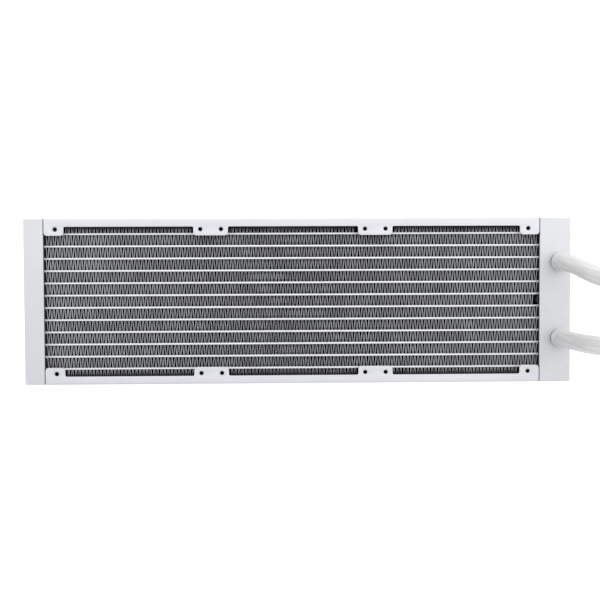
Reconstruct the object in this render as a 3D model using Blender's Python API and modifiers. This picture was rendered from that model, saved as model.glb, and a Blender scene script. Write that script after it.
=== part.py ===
"""Liquid cooling radiator for three 120 mm fans, with the two hoses of its closed loop.

The radiator lies on its back face. +X runs towards the tank with the ports, +Y across the radiator,
and +Z up through its thickness. The origin is at the middle of the back face. "Far" is the +Y side
and "near" the -Y side. Each flat plate is drawn as an outline in the plane that it lies in.
"""

import math

import bmesh
import bpy
from mathutils import Matrix, Vector

MM = 0.001

# Overall size, and how the length is shared between the core and its two tanks
LENGTH = 399.4 * MM
WIDTH = 121 * MM
THICKNESS = 27 * MM
RETURN_TANK_LENGTH = 14.2 * MM
PORT_TANK_LENGTH = 22.7 * MM
SHEET = 1.2 * MM  # wall of the tanks, channels and header plates
GAP = 0.3 * MM  # brazed joint between two neighbouring pieces
CORE_GAP = 0.2 * MM  # the same, inside the core
EDGE_RADIUS = 1.0 * MM  # pressed outer corners of the tanks

# Core: flat tubes with corrugated fins between them
TUBES = 12
TUBE_PITCH = 9 * MM
TUBE_THICKNESS = 1.8 * MM
TUBE_WALL = 0.3 * MM
CORE_DEPTH = 17 * MM
FIN_WAVES = 24
FIN_SHEET = 0.4 * MM  # a coarse stand-in for 0.1 mm foil at 2.6 mm to a wave, of the same mass
SUPPORT_SHEET = 1.4 * MM
TUBE_END = 2 * MM  # how far a tube reaches into a tank

# Screw pattern of three 120 mm fans, and the tabs that carry it
SCREW_PITCH = 105 * MM
FAN_GAP = 15 * MM
SCREW_RADIUS = 1.55 * MM
COLLAR_RADIUS = 2.6 * MM
COLLAR_DEPTH = 1.6 * MM
FLANGE_WIDTH = 6 * MM
TAB_DEPTH = 12.5 * MM
END_TAB_REACH = 6 * MM  # from a tab's screw to its edge
MIDDLE_TAB_REACH = 5.05 * MM
TAB_RADIUS = 2.4 * MM
WINDOW_RADIUS = 1.2 * MM
CHANNEL_END_GAP = 0.5 * MM
BEND_RADIUS = 1.5 * MM

# Ports and hoses
PORT_X = 190.7 * MM
PORT_Y = 28 * MM
HOSE_RADIUS = 6.2 * MM
STEM_RADIUS = 4.2 * MM
BORE_RADIUS = 3 * MM
FERRULE_RADIUS = 6.6 * MM
FERRULE_LENGTH = 7 * MM
FERRULE_GAP = 0.6 * MM  # between a ferrule and the stem in it
NIPPLE_HEIGHT = 2.2 * MM  # from the tank's face to the ferrule
HOSE_END_Z = 7.5 * MM  # centreline of a hose that lies on the table

# Swivel fittings on the hoses' free ends
ELBOW_RADIUS = 7 * MM
ELBOW_HEIGHT = 15.5 * MM
ELBOW_REACH = 10 * MM  # from the ferrule to the swivel's axis
NECK_RADIUS = 3.4 * MM
NECK_FLANGE_RADIUS = 4.4 * MM
SWIVEL_CLEARANCE = 0.35 * MM
COLLAR_KNURLS = 12

# Fill port in the return tank
PLUG_RADIUS = 4 * MM
BOSS_RADIUS = 6.5 * MM
BOSS_DEPTH = 5 * MM

# Worked out from the sizes above
LEFT = -LENGTH / 2
RIGHT = LENGTH / 2
CORE_LEFT = LEFT + RETURN_TANK_LENGTH
CORE_RIGHT = RIGHT - PORT_TANK_LENGTH
CORE_CENTRE = (CORE_LEFT + CORE_RIGHT) / 2
CORE_Z = THICKNESS / 2
HEADER_RECESS = 1 * MM
HEADER_LEFT = CORE_LEFT - HEADER_RECESS  # core side of each header plate
HEADER_RIGHT = CORE_RIGHT + HEADER_RECESS
CHANNEL_HALF = (CORE_RIGHT - CORE_LEFT) / 2 - CHANNEL_END_GAP
FAN_STEP = SCREW_PITCH + FAN_GAP
SCREW_XS = [fan * FAN_STEP + side * SCREW_PITCH / 2 for fan in (-1, 0, 1) for side in (-1, 1)]
SCREW_Y = SCREW_PITCH / 2
FERRULE_Z = THICKNESS + NIPPLE_HEIGHT

# The hoses' routes: straight up from the ports, over in one arch, then out along the table
NEAR_ROUTE = [
    (190.7, -28.0, 36.5), (190.7, -28.0, 41.5), (190.7, -28.3, 50.0), (190.7, -28.5, 64.0),
    (190.9, -28.3, 77.5), (192.4, -28.1, 93.0), (198.8, -28.2, 110.0), (211.1, -28.4, 125.5),
    (228.6, -29.0, 136.4), (248.8, -29.6, 140.4), (269.0, -30.2, 136.4), (286.4, -30.8, 125.2),
    (298.4, -31.4, 108.5), (305.4, -31.9, 90.0), (310.4, -32.4, 71.2), (316.4, -32.9, 52.8),
    (326.4, -33.4, 34.8), (341.4, -33.8, 20.3), (360.4, -34.0, 11.1), (380.4, -34.0, 7.9),
    (397.4, -34.0, 7.5), (407.4, -34.0, 7.5),
]
FAR_ROUTE = [
    (190.7, 27.11, 36.45), (190.7, 26.62, 40.42), (190.7, 25.9, 46.2), (190.7, 24.8, 53.5),
    (190.7, 22.7, 63.5), (190.9, 19.5, 76.5), (192.6, 16.0, 92.5), (199.2, 12.7, 109.5),
    (211.9, 9.7, 125.0), (229.6, 6.4, 135.6), (249.6, 3.7, 139.4), (269.6, 1.4, 135.6),
    (286.6, -0.4, 124.6), (298.6, -2.0, 108.0), (306.0, -3.4, 89.5), (311.4, -4.6, 70.7),
    (317.8, -5.6, 52.3), (328.0, -6.4, 34.3), (343.0, -7.0, 19.9), (362.0, -7.4, 10.9),
    (381.4, -7.6, 7.8), (397.4, -7.6, 7.5), (407.4, -7.6, 7.5),
]
ROUTES = {"near": NEAR_ROUTE, "far": FAR_ROUTE}
SIDES = {"near": -1, "far": 1}
LEANS = {"near": 0, "far": 7}  # degrees that a port's ferrule leans towards -Y, with its hose

# Local axes of a plate or curve that is drawn in the YZ plane and runs along X
ALONG_X = Matrix(((0, 0, 1, 0), (1, 0, 0, 0), (0, 1, 0, 0), (0, 0, 0, 1)))
# A turned piece is drawn upright, and this lays its axis along X
LYING = Matrix.Rotation(math.pi / 2, 4, "Y")


def clear_scene():
    for obj in list(bpy.data.objects):
        bpy.data.objects.remove(obj)


def collection(name):
    made = bpy.data.collections.new(name)
    bpy.context.scene.collection.children.link(made)
    return made


def material(name, colour, roughness, metallic=0.0):
    made = bpy.data.materials.new(name)
    made.use_nodes = True
    shader = made.node_tree.nodes["Principled BSDF"]
    shader.inputs["Base Color"].default_value = (*colour, 1)
    shader.inputs["Roughness"].default_value = roughness
    shader.inputs["Metallic"].default_value = metallic
    made.diffuse_color = (*colour, 1)
    return made


def arc(centre, radius, start, end, steps):
    """Points on an arc, angles in degrees from the first axis."""
    angles = [math.radians(start + (end - start) * i / steps) for i in range(steps + 1)]
    return [(centre[0] + radius * math.cos(a), centre[1] + radius * math.sin(a)) for a in angles]


def circle(centre, radius, steps):
    return arc(centre, radius, 0, 360, steps)[:-1]


def filleted(corners, steps=3):
    """An outline from (x, y, radius) corners, each rounded to its radius."""
    outline = []
    for i, (x, y, radius) in enumerate(corners):
        here = Vector((x, y))
        if not radius:
            outline.append((x, y))
            continue
        before = (Vector(corners[i - 1][:2]) - here).normalized()
        after = (Vector(corners[(i + 1) % len(corners)][:2]) - here).normalized()
        half = before.angle(after) / 2
        centre = here + (before + after).normalized() * radius / math.sin(half)
        start = here + before * radius / math.tan(half) - centre
        turn = start.angle_signed(here + after * radius / math.tan(half) - centre)
        for step in range(steps + 1):
            spoke = start.copy()
            spoke.rotate(Matrix.Rotation(-turn * step / steps, 2))
            outline.append(tuple(centre + spoke))
    return outline


def stadium(centre, length, thickness, steps=3):
    """A flat tube's section: thin along the first axis, with round ends along the second."""
    radius = thickness / 2
    half = length / 2 - radius
    top = arc((centre[0], centre[1] + half), radius, 0, 180, steps)
    bottom = arc((centre[0], centre[1] - half), radius, 180, 360, steps)
    return top + bottom


def place(name, mesh, paint, group, matrix=None):
    """An object for this mesh in its collection, shaded smooth on its round faces."""
    obj = bpy.data.objects.new(name, mesh)
    if matrix is not None:
        obj.matrix_world = matrix
    if paint is not None:
        mesh.materials.clear()
        mesh.materials.append(paint)
    mesh.shade_smooth()
    mesh.set_sharp_from_angle(angle=math.radians(35))
    group.objects.link(obj)
    return obj


def mesh_from(name, bm):
    """The finished mesh of a bmesh, facing outwards."""
    bmesh.ops.recalc_face_normals(bm, faces=bm.faces)
    if bm.calc_volume(signed=True) < 0:
        bmesh.ops.reverse_faces(bm, faces=bm.faces)
    mesh = bpy.data.meshes.new(name)
    bm.to_mesh(mesh)
    bm.free()
    return mesh


def meshed(obj):
    """The evaluated mesh of a curve or modified object, welded. The object is removed."""
    scratch = bpy.context.scene.collection
    if obj.name not in scratch.objects:
        scratch.objects.link(obj)
    graph = bpy.context.evaluated_depsgraph_get()
    bm = bmesh.new()
    bm.from_mesh(bpy.data.meshes.new_from_object(obj.evaluated_get(graph)))
    bmesh.ops.remove_doubles(bm, verts=bm.verts, dist=0.002 * MM)
    name = obj.name
    bpy.data.objects.remove(obj)
    return mesh_from(name, bm)


def plate(name, outlines, thickness):
    """A flat plate, centred on its local Z, from an outline and any hole outlines."""
    curve = bpy.data.curves.new(name, "CURVE")
    curve.dimensions = "2D"
    curve.fill_mode = "BOTH"
    curve.extrude = thickness / 2
    for outline in outlines:
        spline = curve.splines.new("POLY")
        spline.points.add(len(outline) - 1)
        for point, (x, y) in zip(spline.points, outline):
            point.co = (x, y, 0, 1)
        spline.use_cyclic_u = True
    return meshed(bpy.data.objects.new(name, curve))


def turned(name, profile, steps):
    """A closed profile of (radius, height) points, turned about the local Z axis."""
    bm = bmesh.new()
    ring = [bm.verts.new((radius, 0, height)) for radius, height in profile]
    for i, vertex in enumerate(ring):
        bm.edges.new((vertex, ring[(i + 1) % len(ring)]))
    mesh = bpy.data.meshes.new(name)
    bm.to_mesh(mesh)
    bm.free()
    obj = bpy.data.objects.new(name, mesh)
    screw = obj.modifiers.new("Turn", "SCREW")
    screw.steps = screw.render_steps = steps
    screw.use_merge_vertices = True
    screw.merge_threshold = 0.01 * MM
    return meshed(obj)


def block(low, high):
    """A bmesh box between two corners."""
    bm = bmesh.new()
    bmesh.ops.create_cube(bm, size=1)
    size = Vector(high) - Vector(low)
    bmesh.ops.scale(bm, vec=size, verts=bm.verts)
    bmesh.ops.translate(bm, vec=(Vector(high) + Vector(low)) / 2, verts=bm.verts)
    return bm


def cylinder(bm, radius, low, high, steps):
    """Adds an upright cylinder with its axis through the bottom point low, up to height high."""
    length = high - low[2]
    middle = Matrix.Translation((low[0], low[1], low[2] + length / 2))
    bmesh.ops.create_cone(
        bm, cap_ends=True, segments=steps, radius1=radius, radius2=radius, depth=length, matrix=middle
    )


def boolean(obj, mesh, group, operation="DIFFERENCE", matrix=None):
    """Cuts this mesh from an object, or joins it on. It stays in the cutters' collection."""
    tool = place(f"{obj.name}_{operation.lower()}_{len(obj.modifiers)}", mesh, None, group, matrix)
    tool.hide_render = True
    tool.display_type = "WIRE"
    modifier = obj.modifiers.new(tool.name, "BOOLEAN")
    modifier.operation = operation
    modifier.solver = "EXACT"
    modifier.object = tool


def smooth_route(points, spacing):
    """Points about spacing apart on a Catmull-Rom curve through a route given in millimetres."""
    route = [Vector(p) * MM for p in points]
    ends = [2 * route[0] - route[1], *route, 2 * route[-1] - route[-2]]
    fine = []
    for a, b, c, d in zip(ends, ends[1:], ends[2:], ends[3:]):
        for step in range(10):
            t = step / 10
            fine.append(
                0.5 * (2 * b + (c - a) * t + (2 * a - 5 * b + 4 * c - d) * t**2
                       + (3 * b - a - 3 * c + d) * t**3)
            )
    fine.append(route[-1])
    kept = [fine[0], fine[10]]  # a hose leaves its ferrule straight
    for point in fine[11:-1]:
        if (point - kept[-1]).length >= spacing and (point - fine[-1]).length >= spacing / 2:
            kept.append(point)
    return [*kept, fine[-1]]


def make_channel(parts, cutters, paint):
    """The two side channels: a folded C section with windows, screw tabs and threaded collars."""
    outer, inner = WIDTH / 2, WIDTH / 2 - TAB_DEPTH
    web = outer - SHEET
    top = THICKNESS
    section = filleted(
        [
            (inner, 0, 0), (outer, 0, BEND_RADIUS), (outer, top, BEND_RADIUS), (inner, top, 0),
            (inner, top - SHEET, 0), (web, top - SHEET, GAP), (web, SHEET, GAP), (inner, SHEET, 0),
        ],
        steps=2,
    )
    mesh = plate("side_channel", [section], 2 * CHANNEL_HALF)
    mesh.transform(ALONG_X)

    past = 2 * MM  # how far the cutter runs beyond the channel
    rim = outer - FLANGE_WIDTH
    corner = CHANNEL_HALF + 0.05 * MM
    right_side = [
        (corner + past, inner + 3 * MM, 0), (corner, inner + 3 * MM, 0), (corner, inner, TAB_RADIUS),
    ]
    windows = []
    for fan in (2, 1, 0):
        start, end = SCREW_XS[2 * fan], SCREW_XS[2 * fan + 1]
        right = end - (END_TAB_REACH if fan == 2 else MIDDLE_TAB_REACH)
        left = start + (END_TAB_REACH if fan == 0 else MIDDLE_TAB_REACH)
        windows += [
            (right, inner, TAB_RADIUS), (right, rim, WINDOW_RADIUS),
            (left, rim, WINDOW_RADIUS), (left, inner, TAB_RADIUS),
        ]
    left_side = [(-x, y, radius) for x, y, radius in reversed(right_side)]
    base = inner - 4 * MM
    window_cutter = filleted(
        [(-corner - past, base, 0), (corner + past, base, 0), *right_side, *windows, *left_side]
    )

    holes = bmesh.new()
    collars = bmesh.new()
    for x in SCREW_XS:
        cylinder(holes, SCREW_RADIUS, (x, SCREW_Y, -past), THICKNESS + past, 12)
        cylinder(collars, COLLAR_RADIUS, (x, SCREW_Y, SHEET / 2), SHEET + COLLAR_DEPTH, 12)
        low = THICKNESS - SHEET - COLLAR_DEPTH
        cylinder(collars, COLLAR_RADIUS, (x, SCREW_Y, low), THICKNESS - SHEET / 2, 12)

    master = place("side_channel_far", mesh, paint, parts)
    window_mesh = plate("window_cutter", [window_cutter], THICKNESS + 2 * past)
    boolean(master, window_mesh, cutters, matrix=Matrix.Translation((0, 0, CORE_Z)))
    boolean(master, mesh_from("collars", collars), cutters, "UNION")
    boolean(master, mesh_from("holes", holes), cutters)
    shared = meshed(master)
    place("side_channel_far", shared, paint, parts, Matrix.Translation((CORE_CENTRE, 0, 0)))
    turned_round = Matrix.Translation((CORE_CENTRE, 0, 0)) @ Matrix.Rotation(math.pi, 4, "Z")
    place("side_channel_near", shared, paint, parts, turned_round)


def make_core(parts, tube_paint, fin_paint):
    """Flat tubes between the header plates, corrugated fins between the tubes, and a support
    sheet outside the last fin row on each side."""
    half_span = (TUBES - 1) * TUBE_PITCH / 2
    tube_left = HEADER_LEFT - SHEET - TUBE_END
    tube_right = HEADER_RIGHT + SHEET + TUBE_END
    outer = stadium((0, 0), CORE_DEPTH, TUBE_THICKNESS)
    inner = stadium((0, 0), CORE_DEPTH - 2 * TUBE_WALL, TUBE_THICKNESS - 2 * TUBE_WALL)
    tube = plate("flat_tube", [outer, inner], tube_right - tube_left)
    tube.transform(ALONG_X)
    for i in range(TUBES):
        spot = ((tube_left + tube_right) / 2, half_span - i * TUBE_PITCH, CORE_Z)
        place(f"flat_tube_{i + 1:02d}", tube, tube_paint, parts, Matrix.Translation(spot))

    fin_left, fin_right = HEADER_LEFT + GAP, HEADER_RIGHT - GAP
    height = TUBE_PITCH - TUBE_THICKNESS - 2 * CORE_GAP
    whole = fin_mesh(fin_right - fin_left, height, FIN_WAVES)
    room_for_boss = 3 * MM
    short_right = fin_right - room_for_boss
    short = fin_mesh(short_right - fin_left, height, FIN_WAVES)
    for i in range(TUBES + 1):
        beside_boss = i == TUBES // 2
        right = short_right if beside_boss else fin_right
        spot = ((fin_left + right) / 2, half_span + TUBE_PITCH * (0.5 - i), CORE_Z)
        mesh = short if beside_boss else whole
        place(f"fin_row_{i + 1:02d}", mesh, fin_paint, parts, Matrix.Translation(spot))

    outermost = half_span + TUBE_THICKNESS / 2 + TUBE_PITCH - TUBE_THICKNESS
    for name, side in SIDES.items():
        low, high = sorted((side * outermost, side * (outermost + SUPPORT_SHEET)))
        bm = block(
            (fin_left, low, CORE_Z - CORE_DEPTH / 2), (fin_right, high, CORE_Z + CORE_DEPTH / 2)
        )
        place(f"core_support_{name}", mesh_from("core_support", bm), tube_paint, parts)


def fin_mesh(length, height, waves):
    """One corrugated fin strip: a zigzag band, as deep as the core."""
    step = length / (2 * waves)
    rise = FIN_SHEET / 2 * math.hypot(step, height) / step
    crest = [
        (-length / 2 + step * i, (height / 2 - rise) * (-1) ** i) for i in range(2 * waves + 1)
    ]
    upper = [(x, y + rise) for x, y in crest]
    lower = [(x, y - rise) for x, y in reversed(crest)]
    return plate("fin_strip", [upper + lower], CORE_DEPTH)


def make_header(name, side, parts, cutters, paint):
    """A header plate with a slot for each flat tube. The port side's has a pressed boss where
    the baffle meets it."""
    half_y = WIDTH / 2 - SHEET - GAP
    low, high = SHEET + GAP, THICKNESS - SHEET - GAP
    rim = [(-half_y, low, 0), (half_y, low, 0), (half_y, high, 0), (-half_y, high, 0)]
    half_span = (TUBES - 1) * TUBE_PITCH / 2
    slots = [
        stadium(
            (half_span - i * TUBE_PITCH, CORE_Z),
            CORE_DEPTH + 2 * CORE_GAP,
            TUBE_THICKNESS + 2 * CORE_GAP,
        )
        for i in range(TUBES)
    ]
    mesh = plate(name, [filleted(rim), *slots], SHEET)
    mesh.transform(ALONG_X)
    face = HEADER_LEFT if side < 0 else HEADER_RIGHT
    header = place(name, mesh, paint, parts, Matrix.Translation((face + side * SHEET / 2, 0, 0)))
    if side < 0:
        return
    boss = bmesh.new()
    radius, boss_depth = 3.4 * MM, 2 * MM
    cylinder(boss, radius, (0, 0, CORE_Z - CORE_DEPTH / 2), CORE_Z + CORE_DEPTH / 2, 16)
    spare = [v for v in boss.verts if v.co.x > 0]
    for v in spare:
        v.co.x = 0
    bmesh.ops.scale(boss, vec=(boss_depth / radius, 1, 1), verts=boss.verts)
    boss_matrix = Matrix.Translation((HEADER_RIGHT + SHEET / 2, 0, 0))
    bmesh.ops.remove_doubles(boss, verts=boss.verts, dist=0.002 * MM)
    boolean(header, mesh_from("boss", boss), cutters, "UNION", boss_matrix)


def tank_mesh(left, right, open_side):
    """The outer form of a tank: a box whose edges are rounded, except round its open side."""
    bm = block((left, -WIDTH / 2, 0), (right, WIDTH / 2, THICKNESS))
    rim = left if open_side < 0 else right
    edges = [e for e in bm.edges if any(abs(v.co.x - rim) > MM for v in e.verts)]
    bmesh.ops.bevel(
        bm, geom=edges, offset=EDGE_RADIUS, offset_type="OFFSET", segments=3, profile=0.5, affect="EDGES"
    )
    return mesh_from("tank", bm)


def make_tank(name, left, right, open_side, parts, cutters, paint):
    """A tank shell, open towards the core, where its header plate goes."""
    tank = place(name, tank_mesh(left, right, open_side), paint, parts)
    past = 2 * MM
    low = left - past if open_side < 0 else left + SHEET
    high = right + past if open_side > 0 else right - SHEET
    inside = block(
        (low, -WIDTH / 2 + SHEET, SHEET), (high, WIDTH / 2 - SHEET, THICKNESS - SHEET)
    )
    boolean(tank, mesh_from("inside", inside), cutters)
    return tank


def make_return_tank(parts, cutters, paint, boss_paint, plug_paint, seal_paint):
    """The tank that turns the flow round, with the fill port in its outer end."""
    tank = make_tank("return_tank", LEFT, CORE_LEFT, 1, parts, cutters, paint)
    opening = turned("fill_opening", [(0, 4 * MM), (BOSS_RADIUS - SHEET, 4 * MM),
                                      (BOSS_RADIUS - SHEET, -4 * MM), (0, -4 * MM)], 20)
    at_end = Matrix.Translation((LEFT, 0, CORE_Z)) @ LYING
    boolean(tank, opening, cutters, matrix=at_end)

    # Heights here run inwards from the tank's outer face
    neck = BOSS_RADIUS - SHEET - GAP
    bore = PLUG_RADIUS + GAP
    boss = [
        (bore, 0.1 * MM), (bore, BOSS_DEPTH), (BOSS_RADIUS, BOSS_DEPTH),
        (BOSS_RADIUS, SHEET + GAP), (neck, SHEET + GAP), (neck, 0.1 * MM),
    ]
    place("fill_port_boss", turned("fill_port_boss", boss, 20), boss_paint, parts, at_end)
    socket, socket_depth, seal_seat = 1.6 * MM, 2 * MM, 3 * MM
    plug = [
        (socket, 0.4 * MM), (socket, socket_depth), (0, socket_depth), (0, BOSS_DEPTH),
        (PLUG_RADIUS - MM, BOSS_DEPTH), (PLUG_RADIUS - MM, seal_seat), (PLUG_RADIUS, seal_seat - GAP),
        (PLUG_RADIUS, 0.4 * MM),
    ]
    place("fill_plug", turned("fill_plug", plug, 6 * 3), plug_paint, parts, at_end)
    ring = circle((PLUG_RADIUS - 0.3 * MM, seal_seat + 0.95 * MM), 0.45 * MM, 6)
    place("fill_plug_seal", turned("fill_plug_seal", ring, 20), seal_paint, parts, at_end)


def make_port_tank(parts, cutters, paint, metal):
    """The tank with both ports, halved by a baffle so that the coolant goes out and back."""
    tank = make_tank("port_tank", CORE_RIGHT, RIGHT, -1, parts, cutters, paint)
    ports = bmesh.new()
    for side in SIDES.values():
        low = (PORT_X, side * PORT_Y, THICKNESS - SHEET - MM)
        cylinder(ports, STEM_RADIUS + GAP, low, THICKNESS + MM, 16)
    boolean(tank, mesh_from("ports", ports), cutters)
    baffle = block(
        (HEADER_RIGHT + SHEET + GAP, -SHEET / 2, SHEET + GAP),
        (RIGHT - SHEET - GAP, SHEET / 2, THICKNESS - SHEET - GAP),
    )
    place("port_baffle", mesh_from("port_baffle", baffle), metal, parts)


def make_port(name, parts, nipple_paint, ferrule_paint):
    """A hose nipple brazed into the tank, and the ferrule that is crimped over the hose on it."""
    top = NIPPLE_HEIGHT + FERRULE_LENGTH - MM
    foot, foot_radius, inside = 1.2 * MM, 5.4 * MM, -3 * MM
    profile = [
        (BORE_RADIUS, top), (STEM_RADIUS - 0.6 * MM, top), (STEM_RADIUS, top - 1.5 * MM),
        (STEM_RADIUS, foot), (foot_radius - 0.4 * MM, foot), (foot_radius, foot - 0.4 * MM),
        (foot_radius, GAP), (STEM_RADIUS, GAP), (STEM_RADIUS, inside), (BORE_RADIUS, inside),
    ]
    spot = Matrix.Translation((PORT_X, SIDES[name] * PORT_Y, THICKNESS))
    place(f"port_nipple_{name}", turned("port_nipple", profile, 16), nipple_paint, parts, spot)
    spot = Matrix.Translation((PORT_X, SIDES[name] * PORT_Y, FERRULE_Z))
    lean = Matrix.Rotation(math.radians(LEANS[name]), 4, "X")
    place(f"port_ferrule_{name}", ferrule_mesh(), ferrule_paint, parts, spot @ lean)


def ferrule_mesh():
    """A crimped ferrule, with two shallow crimp grooves round it."""
    bore = STEM_RADIUS + FERRULE_GAP
    lip, groove = 0.4 * MM, 0.3 * MM
    outer = [(FERRULE_RADIUS - lip, FERRULE_LENGTH), (FERRULE_RADIUS, FERRULE_LENGTH - lip)]
    for middle in (FERRULE_LENGTH * 0.68, FERRULE_LENGTH * 0.32):
        outer += [
            (FERRULE_RADIUS, middle + MM), (FERRULE_RADIUS - groove, middle + 0.5 * MM),
            (FERRULE_RADIUS - groove, middle - 0.5 * MM), (FERRULE_RADIUS, middle - MM),
        ]
    outer += [(FERRULE_RADIUS, lip), (FERRULE_RADIUS - lip, 0)]
    return turned("ferrule", [(bore, FERRULE_LENGTH), *outer, (bore, 0)], 16)


def make_hose(name, parts, paint):
    """A hose along its route, with its crimped ferrule where it ends on the table."""
    points = smooth_route(ROUTES[name], 2 * HOSE_RADIUS)
    curve = bpy.data.curves.new(f"hose_{name}", "CURVE")
    curve.dimensions = "3D"
    curve.bevel_depth = HOSE_RADIUS
    curve.bevel_resolution = 3
    curve.use_fill_caps = True
    spline = curve.splines.new("POLY")
    spline.points.add(len(points) - 1)
    for point, spot in zip(spline.points, points):
        point.co = (*spot, 1)
    curve.materials.append(paint)
    parts.objects.link(bpy.data.objects.new(f"hose_{name}", curve))
    return points[-1]


def make_swivel_end(name, hose_end, parts, cutters, metal, ferrule_paint, seal_paint):
    """What is on a hose's free end: a ferrule, an elbow and the swivel base that plugs into a
    pump. The base's neck turns in the elbow, which holds it by the flange on the neck."""
    start = hose_end + Vector((GAP, 0, 0))
    place(f"end_ferrule_{name}", ferrule_mesh(), ferrule_paint, parts, Matrix.Translation(start) @ LYING)

    axis_x = start.x + FERRULE_LENGTH + ELBOW_REACH
    lowest = GAP
    chamber_floor, chamber_top, lip = 8.6 * MM, 12.4 * MM, ELBOW_HEIGHT
    body = bmesh.new()
    cylinder(body, ELBOW_RADIUS, (0, 0, lowest), ELBOW_HEIGHT, 20)
    lower_edges = [e for e in body.edges if all(v.co.z < 2 * GAP for v in e.verts)]
    bmesh.ops.bevel(
        body, geom=lower_edges, offset=1.5 * MM, offset_type="OFFSET", segments=2, profile=0.5, affect="EDGES"
    )
    at_axis = Matrix.Translation((axis_x, hose_end.y, 0))
    elbow = place(f"swivel_elbow_{name}", mesh_from("elbow", body), metal, parts, at_axis)
    collar_end = axis_x - GAP - start.x  # barb and collar, measured from the hose's end
    barb = [
        (0, MM), (STEM_RADIUS - 0.6 * MM, MM), (STEM_RADIUS, 2.5 * MM),
        (STEM_RADIUS, FERRULE_LENGTH + GAP), (FERRULE_RADIUS - 0.4 * MM, FERRULE_LENGTH + GAP),
        (FERRULE_RADIUS - 0.4 * MM, collar_end), (0, collar_end),
    ]
    barb_matrix = Matrix.Translation((start.x, hose_end.y, HOSE_END_Z)) @ LYING
    boolean(elbow, turned("barb", barb[::-1], 16), cutters, "UNION", barb_matrix)
    chamber = [
        (0, lip + MM), (NECK_RADIUS + SWIVEL_CLEARANCE, lip + MM),
        (NECK_RADIUS + SWIVEL_CLEARANCE, chamber_top),
        (NECK_FLANGE_RADIUS + SWIVEL_CLEARANCE, chamber_top),
        (NECK_FLANGE_RADIUS + SWIVEL_CLEARANCE, chamber_floor),
        (BORE_RADIUS, chamber_floor - MM), (BORE_RADIUS, HOSE_END_Z - 2 * MM), (0, HOSE_END_Z - 2 * MM),
    ]
    boolean(elbow, turned("chamber", chamber, 20), cutters, matrix=at_axis)
    flow = bmesh.new()
    cylinder(flow, BORE_RADIUS - 0.2 * MM, (0, 0, -MM), axis_x - start.x, 12)
    boolean(elbow, mesh_from("flow", flow), cutters, matrix=barb_matrix)

    make_swivel_base(name, (axis_x, hose_end.y), chamber_floor, chamber_top, parts, metal, seal_paint)


def make_swivel_base(name, axis, chamber_floor, chamber_top, parts, metal, seal_paint):
    """The base that turns on the elbow: knurled collar, plug with a seal groove, and neck."""
    bore = 2.2 * MM
    collar_low = ELBOW_HEIGHT + SWIVEL_CLEARANCE
    collar_high = collar_low + 5.5 * MM
    plug_radius, plug_top = 5.5 * MM, collar_high + 8 * MM
    groove_middle, groove_half, groove_floor = collar_high + 4.4 * MM, 1.1 * MM, 4.4 * MM
    collar_radius = 8.4 * MM
    profile = [
        (bore, plug_top), (plug_radius - 0.7 * MM, plug_top), (plug_radius, plug_top - 0.7 * MM),
        (plug_radius, groove_middle + groove_half), (groove_floor, groove_middle + groove_half),
        (groove_floor, groove_middle - groove_half), (plug_radius, groove_middle - groove_half),
        (plug_radius, collar_high), (collar_radius - 0.5 * MM, collar_high),
        (collar_radius, collar_high - 0.5 * MM), (collar_radius, collar_low + 0.5 * MM),
        (collar_radius - 0.5 * MM, collar_low), (NECK_RADIUS, collar_low),
        (NECK_RADIUS, chamber_top - SWIVEL_CLEARANCE),
        (NECK_FLANGE_RADIUS, chamber_top - SWIVEL_CLEARANCE),
        (NECK_FLANGE_RADIUS, chamber_floor + SWIVEL_CLEARANCE), (bore, chamber_floor + SWIVEL_CLEARANCE),
    ]
    mesh = turned("swivel_base", profile, 2 * COLLAR_KNURLS)
    knurl_depth = 0.35 * MM
    for v in mesh.vertices:
        radius = math.hypot(v.co.x, v.co.y)
        turn = round(math.atan2(v.co.y, v.co.x) / math.pi * COLLAR_KNURLS)
        if radius > collar_radius - 0.1 * MM and turn % 2:
            v.co.xy *= (radius - knurl_depth) / radius
    spot = Matrix.Translation((*axis, 0))
    place(f"swivel_base_{name}", mesh, metal, parts, spot)
    ring = circle((groove_floor + 1.05 * MM, groove_middle), 0.8 * MM, 8)
    place(f"swivel_seal_{name}", turned("swivel_seal", ring, 20), seal_paint, parts, spot)


def main():
    clear_scene()
    parts = collection("liquid_cooling_radiator")
    cutters = collection("cutters")
    white = material("white_paint", (0.80, 0.81, 0.83), 0.4)
    core = material("painted_core", (0.74, 0.75, 0.77), 0.5)
    fins = material("fin_foil", (0.42, 0.43, 0.45), 0.45, 0.6)
    aluminium = material("aluminium", (0.66, 0.67, 0.68), 0.4, 1.0)
    sleeve = material("white_hose_sleeve", (0.78, 0.78, 0.77), 0.55)
    plated = material("white_ferrule", (0.78, 0.79, 0.80), 0.35)
    rubber = material("black_rubber", (0.02, 0.02, 0.02), 0.7)

    make_channel(parts, cutters, white)
    make_core(parts, core, fins)
    make_header("return_header_plate", -1, parts, cutters, white)
    make_header("port_header_plate", 1, parts, cutters, white)
    make_return_tank(parts, cutters, white, aluminium, aluminium, rubber)
    make_port_tank(parts, cutters, white, aluminium)
    for name in SIDES:
        make_port(name, parts, white, plated)
        hose_end = make_hose(name, parts, sleeve)
        make_swivel_end(name, hose_end, parts, cutters, plated, plated, rubber)


main()
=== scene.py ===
"""Looks of a liquid cooling radiator with two sleeved hoses, over its CAD frame.

The radiator lies on its back. +X runs towards the tank with the ports, +Y across the radiator and
+Z up out of the face with the ports. "Far" is the +Y side and "near" the -Y side.
"""

import math

import bmesh
import bpy
from mathutils import Euler, Matrix, Vector, noise


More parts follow.
